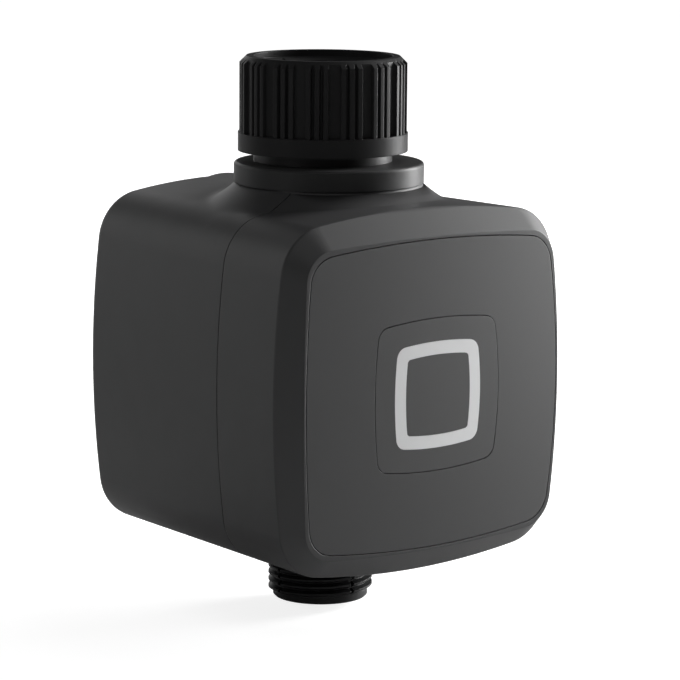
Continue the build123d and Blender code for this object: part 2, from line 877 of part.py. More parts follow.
# Front housing: shell with the sloping band, the plate's recess and the bosses inside
board_half_w = width_at(board_y) / 2 - wall - board_side_gap
board_half_h = height_at(board_y) / 2 - wall - board_side_gap
board_places = corner_places(board_half_w - board_boss_inset, board_half_h - board_boss_inset)
tray_boss_x = width_at(tray_plate_y) / 2 - wall - tray_boss_inset
tray_places = corner_places(tray_boss_x, tray_boss_z)
lip_reach = button_lip - button_gap
window_reach = lip_reach + 0.5
with BuildPart() as front_housing:
    add(shell_outside)
    add(shell_inside, mode=Mode.SUBTRACT)
    add(rear_region(seam_gap), mode=Mode.SUBTRACT)
    extrude(plate_outline(floor_y, -plate_gap), amount=floor_y - face_y + 1, mode=Mode.SUBTRACT)
    extrude(button_outline(floor_back_y, -window_reach), amount=floor_thickness + 1, mode=Mode.SUBTRACT)
    with BuildSketch(at_depth(board_y)):
        with Locations(*board_places):
            Circle(board_boss_r)
    extrude(amount=board_y - floor_back_y)
    with BuildSketch(at_depth(tray_plate_y)):
        with Locations(*tray_places):
            Circle(board_boss_r)
    extrude(amount=tray_plate_y - floor_back_y)
    with BuildSketch(at_depth(board_y)):
        with Locations(*board_places):
            Circle(screw_hole_r)
    extrude(amount=board_screw_length - board_thickness + hole_room, mode=Mode.SUBTRACT)
    with BuildSketch(at_depth(tray_plate_y)):
        with Locations(*tray_places):
            Circle(screw_hole_r)
    extrude(amount=tray_screw_length - tray_plate_thickness + hole_room, mode=Mode.SUBTRACT)
front_housing.part.label = "front_housing"
export_step(front_housing.part, "parts/front_housing.step")


def plate_pocket():
    """The hollow behind the face plate's skin."""
    with BuildPart() as pocket:
        extrude(plate_outline(floor_y, plate_foot), amount=floor_y - face_y + 1)
        add(dome(plate_thickness), mode=Mode.INTERSECT)
    return pocket.part


# Face plate: domed skin with a foot around its edge and an opening for the button
with BuildPart() as face_plate:
    extrude(plate_outline(floor_y), amount=floor_y - face_y + 1)
    add(dome(), mode=Mode.INTERSECT)
    add(plate_pocket(), mode=Mode.SUBTRACT)
    extrude(button_outline(floor_y), amount=floor_y - face_y + 1, mode=Mode.SUBTRACT)
face_plate.part.label = "face_plate"
export_step(face_plate.part, "parts/face_plate.step")

cap_depth = cap_lip_back_y - face_y + 1


def ring_slot():
    """The slot that the light ring fills."""
    with BuildPart() as slot:
        extrude(ring_outline(cap_lip_back_y, -fit_gap), amount=cap_depth)
        extrude(island_outline(cap_lip_back_y, fit_gap), amount=cap_depth, mode=Mode.SUBTRACT)
    return slot.part


# Button: domed cap with a retaining lip, a slot for the light ring and a stem behind
with BuildPart() as button_cap:
    extrude(button_outline(cap_lip_y, button_gap), amount=cap_lip_y - face_y + 1)
    add(dome(), mode=Mode.INTERSECT)
    extrude(button_outline(cap_lip_back_y, -lip_reach), amount=button_lip_thickness)
    add(ring_slot(), mode=Mode.SUBTRACT)
    with BuildSketch(at_depth(cap_lip_back_y)):
        Rectangle(ring_outer_width + 2, web_width)
        Rectangle(web_width, ring_outer_height + 2)
    extrude(amount=web_thickness)
    with BuildSketch(at_depth(membrane_y - fit_gap)):
        Circle(stem_r)
    extrude(amount=membrane_y - fit_gap - cap_lip_back_y)
button_cap.part.label = "button_cap"
export_step(button_cap.part, "parts/button_cap.step")

# Light ring: a light guide that comes flush with the button's face
with BuildPart() as light_ring:
    extrude(ring_outline(cap_lip_back_y + ring_reach), amount=cap_depth + ring_reach)
    extrude(island_outline(cap_lip_back_y + ring_reach), amount=cap_depth + ring_reach, mode=Mode.SUBTRACT)
    add(dome(), mode=Mode.INTERSECT)
    with BuildSketch(at_depth(cap_lip_back_y)):
        Rectangle(ring_outer_width + 2, web_width + 2 * fit_gap)
        Rectangle(web_width + 2 * fit_gap, ring_outer_height + 2)
    extrude(amount=web_thickness + fit_gap, mode=Mode.SUBTRACT)
light_ring.part.label = "light_ring"
export_step(light_ring.part, "parts/light_ring.step")

# Clear rubber membrane that seals the button's window
with BuildPart() as button_membrane:
    extrude(button_outline(membrane_back_y, -window_reach - membrane_margin), amount=membrane_thickness)
button_membrane.part.label = "button_membrane"
export_step(button_membrane.part, "parts/button_membrane.step")

# Main board and what stands on it
with BuildPart() as main_board:
    with BuildSketch(at_depth(board_back_y)):
        RectangleRounded(2 * board_half_w, 2 * board_half_h, 2)
        with Locations(*board_places):
            Circle(screw_pass_r, mode=Mode.SUBTRACT)
    extrude(amount=board_thickness)
main_board.part.label = "main_board"
export_step(main_board.part, "parts/main_board.step")

with BuildPart() as switch_body:
    with BuildSketch(at_depth(board_y)):
        RectangleRounded(switch_size, switch_size, 0.5)
    extrude(amount=switch_height)
    with BuildSketch(at_depth(board_y - switch_floor)):
        Circle(switch_bore_r)
    extrude(amount=switch_height, mode=Mode.SUBTRACT)
switch_body.part.label = "switch_body"
export_step(switch_body.part, "parts/switch_body.step")

with BuildPart() as switch_plunger:
    with BuildSketch(at_depth(board_y - plunger_seat)):
        Circle(switch_plunger_r)
    extrude(amount=board_y - plunger_seat - membrane_back_y - fit_gap)
switch_plunger.part.label = "switch_plunger"
export_step(switch_plunger.part, "parts/switch_plunger.step")

with BuildPart() as status_lights:
    with BuildSketch(at_depth(board_y)):
        with PolarLocations(light_offset, light_count):
            Rectangle(light_length, light_width)
    extrude(amount=light_height)
status_lights.part.label = "status_lights"
export_step(status_lights.part, "parts/status_lights.step")

with BuildPart() as radio_module:
    with BuildSketch(at_depth(board_y)):
        with Locations((0, board_half_h - part_edge_gap)):
            RectangleRounded(radio_width, radio_length, 0.8)
    extrude(amount=radio_height)
radio_module.part.label = "radio_module"
export_step(radio_module.part, "parts/radio_module.step")

with BuildPart() as control_chip:
    with BuildSketch(at_depth(board_y)):
        with Locations((chip_x, part_edge_gap - board_half_h)):
            Rectangle(chip_size, chip_size)
    extrude(amount=chip_height)
control_chip.part.label = "control_chip"
export_step(control_chip.part, "parts/control_chip.step")

with BuildPart() as board_capacitors:
    with BuildSketch(at_depth(board_y)):
        for step in (0, 1):
            with Locations((capacitor_x + step * capacitor_step, part_edge_gap - board_half_h)):
                Circle(capacitor_r)
    extrude(amount=capacitor_height)
board_capacitors.part.label = "board_capacitors"
export_step(board_capacitors.part, "parts/board_capacitors.step")


def screw_set(plane, places, length):
    """Screws at the given places of a plane, their heads on the side it looks to."""
    one_screw = screw(length)
    with BuildPart(plane) as screws:
        with Locations(*places):
            add(one_screw)
    return screws.part


def facing_back(y):
    """Plane at depth y that looks to the back, centred on the housing."""
    return Plane(origin=(0, y, mid_z), x_dir=(-1, 0, 0), z_dir=(0, 1, 0))


with BuildPart() as board_screws:
    add(screw_set(facing_back(board_back_y), board_places, board_screw_length))
board_screws.part.label = "board_screws"
export_step(board_screws.part, "parts/board_screws.step")

# Battery tray: a plate with a trough that is open to the rear
trough_half_x = cell_spacing / 2 + cell_r + cell_gap + trough_wall
trough_half_z = (cell_length + cell_nub_length) / 2 + cell_end_room + trough_wall
trough_back_y = cell_y + trough_rise
pocket_r = cell_r + cell_gap
pin_places = [(pin_x, -pin_spread), (pin_x, pin_spread)]
with BuildPart() as battery_tray:
    with BuildSketch(at_depth(tray_plate_back_y)):
        RectangleRounded(2 * (tray_boss_x + board_boss_r), 2 * (tray_boss_z + board_boss_r + 1), 3)
    extrude(amount=tray_plate_thickness)
    with BuildSketch(at_depth(trough_back_y)):
        RectangleRounded(2 * trough_half_x, 2 * trough_half_z, 2)
    extrude(amount=trough_back_y - trough_front_y)
    with BuildSketch(Plane.XY.offset(mid_z - trough_half_z + trough_wall)):
        with Locations((-cell_spacing / 2, cell_y), (cell_spacing / 2, cell_y)):
            Circle(pocket_r)
        with Locations((0, cell_y + pocket_r / 2)):
            Rectangle(2 * (trough_half_x - trough_wall), pocket_r)
    extrude(amount=2 * (trough_half_z - trough_wall), mode=Mode.SUBTRACT)
    with BuildSketch(at_depth(tray_plate_back_y)):
        with Locations(*tray_places):
            Circle(screw_pass_r)
        with Locations(*pin_places):
            Circle(pin_r + fit_gap)
    extrude(amount=tray_plate_thickness, mode=Mode.SUBTRACT)
battery_tray.part.label = "battery_tray"
export_step(battery_tray.part, "parts/battery_tray.step")

with BuildPart() as tray_screws:
    add(screw_set(facing_back(tray_plate_back_y), tray_places, tray_screw_length))
tray_screws.part.label = "tray_screws"
export_step(tray_screws.part, "parts/tray_screws.step")

# Two round cells side by side, pointing opposite ways
cell_stop = trough_half_z - trough_wall - contact_thickness
with BuildPart() as battery_cells:
    for side in (-1, 1):
        tip_z = mid_z + side * cell_stop
        end_z = tip_z - side * (cell_length + cell_nub_length)
        with BuildSketch(at_height(end_z)):
            with Locations((side * cell_spacing / 2, cell_y)):
                Circle(cell_r)
        extrude(amount=side * cell_length)
        with BuildSketch(at_height(end_z + side * cell_length)):
            with Locations((side * cell_spacing / 2, cell_y)):
                Circle(cell_nub_r)
        extrude(amount=side * cell_nub_length)
battery_cells.part.label = "battery_cells"
export_step(battery_cells.part, "parts/battery_cells.step")

with BuildPart() as battery_contacts:
    for side in (-1, 1):
        with BuildSketch(at_height(mid_z + side * cell_stop)):
            with Locations((-cell_spacing / 2, cell_y), (cell_spacing / 2, cell_y)):
                Rectangle(contact_width, contact_width)
        extrude(amount=side * contact_thickness)
battery_contacts.part.label = "battery_contacts"
export_step(battery_contacts.part, "parts/battery_contacts.step")

spring_room = 2 * cell_stop - cell_length - cell_nub_length
cell_spring_height = spring_room - 2 * cell_spring_wire_r
cell_spring = coil_spring(cell_spring_r, cell_spring_wire_r, cell_spring_height, spring_turns)
with BuildPart() as battery_springs:
    for side in (-1, 1):
        far_z = mid_z - side * cell_stop
        low_z = min(far_z, far_z + side * spring_room) + cell_spring_wire_r
        with Locations((side * cell_spacing / 2, cell_y, low_z)):
            add(cell_spring)
battery_springs.part.label = "battery_springs"
export_step(battery_springs.part, "parts/battery_springs.step")

# Sprung pins that carry the current over to the valve
with BuildPart() as contact_pins:
    with BuildSketch(at_depth(bulkhead_y - pin_tip_length)):
        with Locations(*pin_places):
            Circle(pin_r)
    extrude(amount=bulkhead_y - pin_tip_length - tray_plate_y + 1)
    with BuildSketch(at_depth(bulkhead_y - pin_gap)):
        with Locations(*pin_places):
            Circle(pin_tip_r)
    extrude(amount=pin_tip_length)
contact_pins.part.label = "contact_pins"
export_step(contact_pins.part, "parts/contact_pins.step")

skirt_inset = wall + skirt_clearance
seal_floor_inset = skirt_inset + skirt_wall / 2
seal_y = bulkhead_y - seal_width / 2


def seal_band(outer_inset):
    """Band round the skirt, from the groove's floor out to outer_inset."""
    with BuildPart() as band:
        extrude(seam_outline(seal_y, outer_inset), amount=seal_width)
        extrude(seam_outline(seal_y, seal_floor_inset), amount=seal_width, mode=Mode.SUBTRACT)
    return band.part


# Bulkhead: closes the rear housing and guides the control head on its skirt
with BuildPart() as bulkhead:
    extrude(seam_outline(bulkhead_back_y, wall + bulkhead_clearance), amount=bulkhead_back_y - bulkhead_y)
    extrude(seam_outline(bulkhead_y, skirt_inset), amount=skirt_length)
    extrude(seam_outline(bulkhead_y, skirt_inset + skirt_wall), amount=skirt_length, mode=Mode.SUBTRACT)
    add(seal_band(wall), mode=Mode.SUBTRACT)
    with BuildSketch(at_depth(bulkhead_back_y)):
        with Locations(*boss_places):
            Circle(screw_pass_r)
        with Locations(*pin_places):
            Circle(pad_stud_r)
    extrude(amount=bulkhead_thickness, mode=Mode.SUBTRACT)
    with BuildSketch(at_depth(bulkhead_y)):
        with Locations(*pin_places):
            Circle(pad_r)
    extrude(amount=-pad_thickness, mode=Mode.SUBTRACT)
bulkhead.part.label = "bulkhead"
export_step(bulkhead.part, "parts/bulkhead.step")

with BuildPart() as bulkhead_screws:
    add(screw_set(at_depth(bulkhead_y), boss_places, screw_length))
bulkhead_screws.part.label = "bulkhead_screws"
export_step(bulkhead_screws.part, "parts/bulkhead_screws.step")

# Rubber seal in the skirt's groove
with BuildPart() as housing_seal:
    add(seal_band(skirt_inset - seal_proud))
housing_seal.part.label = "housing_seal"
export_step(housing_seal.part, "parts/housing_seal.step")

# Contact pads, flush with the bulkhead, with studs through it
stud_end_y = bulkhead_back_y + 1.0
with BuildPart() as contact_pads:
    with BuildSketch(at_depth(bulkhead_y + pad_thickness)):
        with Locations(*pin_places):
            Circle(pad_r)
    extrude(amount=pad_thickness)
    with BuildSketch(at_depth(stud_end_y)):
        with Locations(*pin_places):
            Circle(pad_stud_r)
    extrude(amount=stud_end_y - bulkhead_y - pad_thickness)
contact_pads.part.label = "contact_pads"
export_step(contact_pads.part, "parts/contact_pads.step")

# Valve block: two sockets on the pipe axis and a round head with the valve seat at its back
socket_top_z = block_top_z - socket_depth
socket_base_z = block_bottom_z + socket_depth
transfer_base_z = mid_z + seat_rim_r + 0.3
with BuildPart() as valve_block:
    with BuildSketch(at_height(block_bottom_z)):
        Circle(block_r)
    extrude(amount=block_top_z - block_bottom_z)
    with BuildSketch(at_depth(clamp_y)):
        Circle(clamp_r)
        with PolarLocations(bonnet_screw_circle, bonnet_screw_count, start_angle=45):
            Circle(ear_r)
        with PolarLocations(bonnet_screw_circle / 2, bonnet_screw_count, start_angle=45):
            Rectangle(bonnet_screw_circle, 2 * ear_r)
    extrude(amount=clamp_y - head_start_y)
    with BuildSketch(at_depth(bar_back_y)):
        with Locations((0, -post_spread), (0, post_spread)):
            RectangleRounded(2 * bar_reach, bar_height, 3)
    extrude(amount=bar_thickness)
    with BuildSketch(at_height(socket_top_z)):
        Circle(socket_r)
    extrude(amount=socket_depth, mode=Mode.SUBTRACT)
    with BuildSketch(at_height(transfer_base_z)):
        Circle(pipe_bore_r)
    extrude(amount=socket_top_z - transfer_base_z, mode=Mode.SUBTRACT)
    with BuildSketch(at_height(block_bottom_z)):
        Circle(socket_r)
    extrude(amount=socket_depth, mode=Mode.SUBTRACT)
    with BuildSketch(at_height(socket_base_z)):
        Circle(pipe_bore_r)
    extrude(amount=mid_z - socket_base_z, mode=Mode.SUBTRACT)
    with BuildSketch(at_depth(clamp_y)):
        Circle(seat_bore_r)
    extrude(amount=clamp_y, mode=Mode.SUBTRACT)
    with BuildSketch(at_depth(clamp_y)):
        Circle(chamber_r)
        Circle(seat_rim_r, mode=Mode.SUBTRACT)
    extrude(amount=clamp_y - chamber_y, mode=Mode.SUBTRACT)
    with BuildSketch(at_depth(chamber_y + 0.1)):
        with Locations((0, transfer_base_z - mid_z + transfer_height / 2)):
            Rectangle(transfer_width, transfer_height)
    extrude(amount=chamber_y + 0.1, mode=Mode.SUBTRACT)
    with BuildSketch(at_depth(clamp_y)):
        with PolarLocations(bonnet_screw_circle, bonnet_screw_count, start_angle=45):
            Circle(screw_hole_r)
    extrude(amount=clamp_y - head_start_y, mode=Mode.SUBTRACT)
    with BuildSketch(at_depth(bar_back_y)):
        with Locations(*post_places):
            Circle(screw_pass_r)
    extrude(amount=bar_thickness, mode=Mode.SUBTRACT)
valve_block.part.label = "valve_block"
export_step(valve_block.part, "parts/valve_block.step")

with BuildPart() as valve_screws:
    add(screw_set(at_depth(bar_front_y), post_places, screw_length))
valve_screws.part.label = "valve_screws"
export_step(valve_screws.part, "parts/valve_screws.step")

# Rubber diaphragm with a thinner ring that flexes, and a bleed hole
flex_inner_r = poppet_disc_r + 0.6
flex_outer_r = chamber_r - 0.6
with BuildPart() as diaphragm:
    with BuildSketch(at_depth(bonnet_y)):
        Circle(clamp_r - 0.2)
        Circle(poppet_stem_r, mode=Mode.SUBTRACT)
        with Locations((flex_inner_r + 1.5, 0)):
            Circle(pilot_r, mode=Mode.SUBTRACT)
    extrude(amount=diaphragm_thickness)
    with BuildSketch(at_depth(bonnet_y)):
        Circle(flex_outer_r)
        Circle(flex_inner_r, mode=Mode.SUBTRACT)
    extrude(amount=diaphragm_thickness - diaphragm_web, mode=Mode.SUBTRACT)
diaphragm.part.label = "diaphragm"
export_step(diaphragm.part, "parts/diaphragm.step")

# Poppet: a nose in the seat, a stem through the diaphragm and a disc behind it
with BuildPart() as poppet:
    with BuildSketch(at_depth(clamp_y)):
        Circle(poppet_nose_r)
    extrude(amount=poppet_nose_length)
    with BuildSketch(at_depth(bonnet_y)):
        Circle(poppet_stem_r)
    extrude(amount=diaphragm_thickness)
    with BuildSketch(at_depth(poppet_back_y)):
        Circle(poppet_disc_r)
    extrude(amount=poppet_disc_thickness)
    with BuildSketch(at_depth(tip_y)):
        Circle(poppet_nib_r)
    extrude(amount=poppet_nib_height)
    with BuildSketch(at_depth(tip_y)):
        Circle(pilot_r)
    extrude(amount=tip_y - clamp_y + poppet_nose_length, mode=Mode.SUBTRACT)
poppet.part.label = "poppet"
export_step(poppet.part, "parts/poppet.step")


def laid_spring(spring_r, wire_r, start_y, end_y):
    """Coil spring along the valve's axis that just fills the room between two depths."""
    upright = coil_spring(spring_r, wire_r, end_y - start_y - 2 * wire_r, spring_turns)
    return upright.moved(Location((0, start_y + wire_r, mid_z), (-90, 0, 0)))


with BuildPart() as diaphragm_spring:
    add(laid_spring(valve_spring_r, valve_spring_wire_r, poppet_back_y, bonnet_roof_y))
diaphragm_spring.part.label = "diaphragm_spring"
export_step(diaphragm_spring.part, "parts/diaphragm_spring.step")

# Bonnet: clamps the diaphragm's rim and carries the solenoid
with BuildPart() as valve_bonnet:
    with BuildSketch(at_depth(bonnet_back_y)):
        Circle(clamp_r)
        with PolarLocations(bonnet_screw_circle, bonnet_screw_count, start_angle=45):
            Circle(ear_r)
        with PolarLocations(bonnet_screw_circle / 2, bonnet_screw_count, start_angle=45):
            Rectangle(bonnet_screw_circle, 2 * ear_r)
    extrude(amount=bonnet_back_y - bonnet_y)
    with BuildSketch(at_depth(bonnet_roof_y)):
        Circle(chamber_r)
    extrude(amount=bonnet_chamber_depth, mode=Mode.SUBTRACT)
    with BuildSketch(at_depth(bonnet_back_y)):
        Circle(tube_outer_r + tube_fit)
        with PolarLocations(bonnet_screw_circle, bonnet_screw_count, start_angle=45):
            Circle(screw_pass_r)
    extrude(amount=bonnet_back_y - bonnet_y, mode=Mode.SUBTRACT)
valve_bonnet.part.label = "valve_bonnet"
export_step(valve_bonnet.part, "parts/valve_bonnet.step")

ear_step = bonnet_screw_circle * sin(radians(45))
with BuildPart() as bonnet_screws:
    add(screw_set(facing_back(bonnet_back_y), corner_places(ear_step, ear_step), bonnet_screw_length))
bonnet_screws.part.label = "bonnet_screws"
export_step(bonnet_screws.part, "parts/bonnet_screws.step")

# Plunger tube: thin sleeve with a flange on the bonnet's back
with BuildPart() as plunger_tube:
    with BuildSketch(at_depth(yoke_end_y)):
        Circle(tube_outer_r)
    extrude(amount=yoke_end_y - bonnet_roof_y)
    with BuildSketch(at_depth(yoke_front_y)):
        Circle(tube_flange_r)
    extrude(amount=tube_flange_thickness)
    with BuildSketch(at_depth(yoke_end_y)):
        Circle(tube_inner_r)
    extrude(amount=yoke_end_y - bonnet_roof_y, mode=Mode.SUBTRACT)
plunger_tube.part.label = "plunger_tube"
export_step(plunger_tube.part, "parts/plunger_tube.step")

with BuildPart() as plunger:
    with BuildSketch(at_depth(plunger_y + plunger_length)):
        Circle(plunger_r)
    extrude(amount=plunger_length)
    with BuildSketch(at_depth(tip_y + tip_length)):
        Circle(tip_r)
    extrude(amount=tip_length, mode=Mode.SUBTRACT)
plunger.part.label = "plunger"
export_step(plunger.part, "parts/plunger.step")

with BuildPart() as plunger_seal:
    with BuildSketch(at_depth(tip_y + tip_length)):
        Circle(tip_r)
    extrude(amount=tip_length)
plunger_seal.part.label = "plunger_seal"
export_step(plunger_seal.part, "parts/plunger_seal.step")

plunger_back_y = plunger_y + plunger_length
with BuildPart() as plunger_spring:
    add(laid_spring(plunger_spring_r, plunger_spring_wire_r, plunger_back_y, pole_y))
plunger_spring.part.label = "plunger_spring"
export_step(plunger_spring.part, "parts/plunger_spring.step")

with BuildPart() as pole_piece:
    with BuildSketch(at_depth(yoke_end_y)):
        Circle(tube_inner_r)
    extrude(amount=pole_length)
pole_piece.part.label = "pole_piece"
export_step(pole_piece.part, "parts/pole_piece.step")

with BuildPart() as latch_magnet:
    with BuildSketch(at_depth(yoke_end_y + magnet_thickness)):
        Circle(magnet_r)
    extrude(amount=magnet_thickness)
latch_magnet.part.label = "latch_magnet"
export_step(latch_magnet.part, "parts/latch_magnet.step")

# Bobbin and winding
with BuildPart() as coil_bobbin:
    with BuildSketch(at_depth(bobbin_back_y)):
        Circle(bobbin_flange_r)
    extrude(amount=bobbin_length)
    with BuildSketch(at_depth(bobbin_back_y - bobbin_wall)):
        Circle(bobbin_flange_r)
        Circle(bobbin_hub_r, mode=Mode.SUBTRACT)
    extrude(amount=bobbin_length - 2 * bobbin_wall, mode=Mode.SUBTRACT)
    with BuildSketch(at_depth(bobbin_back_y)):
        Circle(bobbin_bore_r)
    extrude(amount=bobbin_length, mode=Mode.SUBTRACT)
coil_bobbin.part.label = "coil_bobbin"
export_step(coil_bobbin.part, "parts/coil_bobbin.step")

with BuildPart() as solenoid_coil:
    with BuildSketch(at_depth(bobbin_back_y - bobbin_wall)):
        Circle(coil_r)
        Circle(bobbin_hub_r, mode=Mode.SUBTRACT)
    extrude(amount=bobbin_length - 2 * bobbin_wall)
solenoid_coil.part.label = "solenoid_coil"
export_step(solenoid_coil.part, "parts/solenoid_coil.step")

# Yoke: a folded steel strap round the coil, open at its left and right
yoke_inner_half = bobbin_flange_r + 0.5
yoke_height = 2 * (yoke_inner_half + yoke_thickness)
with BuildPart() as solenoid_yoke:
    with BuildSketch(at_depth(yoke_end_y)):
        Rectangle(yoke_width, yoke_height)
    extrude(amount=yoke_end_y - yoke_front_y)
    with BuildSketch(at_depth(yoke_back_y)):
        Rectangle(yoke_width, 2 * yoke_inner_half)
    extrude(amount=yoke_back_y - yoke_front_y - yoke_thickness, mode=Mode.SUBTRACT)
    with BuildSketch(at_depth(yoke_end_y)):
        Circle(bobbin_bore_r)
    extrude(amount=yoke_end_y - yoke_front_y, mode=Mode.SUBTRACT)
solenoid_yoke.part.label = "solenoid_yoke"
export_step(solenoid_yoke.part, "parts/solenoid_yoke.step")

# Two leads from the contact pads to the coil
with BuildPart() as solenoid_leads:
    for x, z in pin_places:
        coil_x = sqrt(coil_r**2 - (pin_spread - lead_r) ** 2) + fit_gap
        with BuildLine() as route:
            FilletPolyline(
                (x, stud_end_y, mid_z + z),
                (x, lead_end_y, mid_z + z),
                (coil_x, lead_end_y, mid_z + z),
                radius=lead_bend_r,
            )
        with BuildSketch(at_depth(stud_end_y)):
            with Locations((x, z)):
                Circle(lead_r)
        sweep(path=route.line)
solenoid_leads.part.label = "solenoid_leads"
export_step(solenoid_leads.part, "parts/solenoid_leads.step")
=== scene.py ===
import math

import bmesh
import bpy
from mathutils import Matrix, Vector


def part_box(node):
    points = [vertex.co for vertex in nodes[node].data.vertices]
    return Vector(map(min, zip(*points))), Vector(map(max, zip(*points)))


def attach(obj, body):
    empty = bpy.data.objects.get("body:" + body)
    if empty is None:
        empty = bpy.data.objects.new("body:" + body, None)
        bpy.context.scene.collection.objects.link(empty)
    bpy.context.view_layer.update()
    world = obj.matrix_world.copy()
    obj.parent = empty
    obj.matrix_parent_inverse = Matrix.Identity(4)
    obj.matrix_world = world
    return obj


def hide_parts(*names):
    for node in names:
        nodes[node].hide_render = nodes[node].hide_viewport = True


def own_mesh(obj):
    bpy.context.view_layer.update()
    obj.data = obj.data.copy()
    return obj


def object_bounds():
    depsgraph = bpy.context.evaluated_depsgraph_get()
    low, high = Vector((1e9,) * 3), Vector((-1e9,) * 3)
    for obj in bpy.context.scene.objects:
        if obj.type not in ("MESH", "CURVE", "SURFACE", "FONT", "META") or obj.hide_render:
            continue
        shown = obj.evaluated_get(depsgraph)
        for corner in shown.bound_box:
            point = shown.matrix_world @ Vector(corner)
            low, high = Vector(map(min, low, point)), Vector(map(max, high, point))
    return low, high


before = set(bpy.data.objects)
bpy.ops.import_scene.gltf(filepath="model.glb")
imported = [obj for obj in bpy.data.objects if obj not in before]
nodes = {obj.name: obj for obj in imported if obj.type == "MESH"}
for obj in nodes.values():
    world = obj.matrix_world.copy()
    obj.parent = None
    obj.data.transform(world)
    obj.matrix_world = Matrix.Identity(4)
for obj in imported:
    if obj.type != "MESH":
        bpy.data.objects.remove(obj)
cad_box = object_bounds()
scene = bpy.context.scene

# Lengths are in metres, apart from those that are multiplied by MM
MM = 0.001
MID_Z = -0.0625  # middle of the housing's height


def direction(azimuth, elevation):
    """Unit vector out from the object. In degrees, azimuth 0 is its front and 90 its right side."""
    az = math.radians(azimuth)
    el = math.radians(elevation)
    return Vector((math.sin(az) * math.cos(el), -math.cos(az) * math.cos(el), math.sin(el)))


# Camera: its place and lens were fitted to the outlines in the photograph

CAMERA_AZIMUTH = -38.62
CAMERA_ELEVATION = 9.63
CAMERA_ROLL = 0.41
CAMERA_DISTANCE = 0.8308
AIM_Y = -0.00021
AIM_RIGHT = 0.0045
AIM_UP = 0.00701
PHOTO_WIDTH_PX = 680
FOCAL_LENGTH_PX = 3296.04
SENSOR_WIDTH_MM = 36
CLIP_START = 0.01
CLIP_END = 20


def photo_camera():
    """Camera at the photograph's angle, distance and lens."""
    roll = math.radians(CAMERA_ROLL)
    back = direction(CAMERA_AZIMUTH, CAMERA_ELEVATION)
    right = (-back).cross(Vector((0, 0, 1))).normalized()
    up = right.cross(-back).normalized()
    aim = Vector((0, AIM_Y, MID_Z)) + right * AIM_RIGHT + up * AIM_UP
    x_axis = right * math.cos(roll) + up * math.sin(roll)
    y_axis = up * math.cos(roll) - right * math.sin(roll)
    turn = Matrix((x_axis, y_axis, back)).transposed().to_4x4()
    data = bpy.data.cameras.new("photo_camera")
    data.sensor_fit = "HORIZONTAL"
    data.sensor_width = SENSOR_WIDTH_MM
    data.lens = SENSOR_WIDTH_MM * FOCAL_LENGTH_PX / PHOTO_WIDTH_PX
    data.clip_start = CLIP_START
    data.clip_end = CLIP_END
    camera = bpy.data.objects.new("photo_camera", data)
    scene.collection.objects.link(camera)
    camera.matrix_world = Matrix.Translation(aim + back * CAMERA_DISTANCE) @ turn
    return camera


scene.camera = photo_camera()


# Lights: soft boxes in a ring round the object, and two above it

LIGHT_DISTANCE = 1.0
LOW, HIGH = 10, 58  # elevations in degrees
UPRIGHT_BOX = (0.4, 0.8)  # width and height
SQUARE_BOX = (0.6, 0.6)

# Azimuth, elevation, size and power in watts
SOFTBOXES = {
    "right_key": (80, LOW, UPRIGHT_BOX, 29.0),
    "right_fill": (60, LOW, UPRIGHT_BOX, 0.5),
    "left_front_fill": (-90, LOW, UPRIGHT_BOX, 0.95),
    "left_back_fill": (-140, LOW, UPRIGHT_BOX, 0.4),
    "left_back_rim": (-165, LOW, UPRIGHT_BOX, 1.3),
    "back_fill": (160, LOW, UPRIGHT_BOX, 1.1),
    "top_fill": (95, HIGH, SQUARE_BOX, 1.8),
    "front_fill": (-38, HIGH, SQUARE_BOX, 1.0),
}


def softbox(name, azimuth, elevation, size, power):
    """Rectangular soft light that looks at the middle of the object."""
    data = bpy.data.lights.new(name, "AREA")
    data.shape = "RECTANGLE"
    data.size, data.size_y = size
    data.energy = power
    light = bpy.data.objects.new(name, data)
    scene.collection.objects.link(light)
    away = direction(azimuth, elevation)
    turn = away.to_track_quat("Z", "Y").to_matrix().to_4x4()
    light.matrix_world = Matrix.Translation(Vector((0, 0, MID_Z)) + away * LIGHT_DISTANCE) @ turn


for box_name, box_values in SOFTBOXES.items():
    softbox(box_name, *box_values)


# Short forms for shader nodes

def add_node(tree, kind, values=None):
    """Adds a node and sets the named inputs to the given values."""
    node = tree.nodes.new(kind)
    for name, value in (values or {}).items():
        node.inputs[name].default_value = value
    return node


def calculate(tree, operation, *operands):
    """Result of a maths node; each operand is another node's output or a number."""
    node = tree.nodes.new("ShaderNodeMath")
    node.operation = operation
    for operand, socket in zip(operands, node.inputs):
        if isinstance(operand, float):
            socket.default_value = operand
        else:
            tree.links.new(operand, socket)
    return node.outputs["Value"]


def length_of(tree, vector):
    """Length of a vector output."""
    node = tree.nodes.new("ShaderNodeVectorMath")
    node.operation = "LENGTH"
    tree.links.new(vector, node.inputs[0])
    return node.outputs["Value"]


def remap(tree, value, start, end, low=0.0, high=1.0):
    """Maps start to low and end to high, straight between them and level beyond them."""
    limits = {"From Min": start, "From Max": end, "To Min": low, "To Max": high}
    node = add_node(tree, "ShaderNodeMapRange", limits)
    tree.links.new(value, node.inputs["Value"])
    return node.outputs["Result"]


def object_place(tree):
    """The shaded point's place in the object's own frame."""
    return tree.nodes.new("ShaderNodeTexCoord").outputs["Object"]


# Backdrop and floor

WHITE = (1, 1, 1, 1)
BACKDROP_SEEN = 1.0
BACKDROP_LIGHT = 0.03
FLOOR_HALF_WIDTH = 4
FLOOR_DROP = 0.002
FLOOR_COLOR = (0.68, 0.68, 0.68, 1)
FLOOR_ROUGHNESS = 0.9
# Painted glow of the floor for the camera, dimmer near the object as painted shade round it: where
# the dimming ends and starts, and the glow's strength near and far
PAINTED_SHADE_REACH = (0.1, 0.4)  # distances from the object's origin
PAINTED_GLOW = (0.8, 1.0)


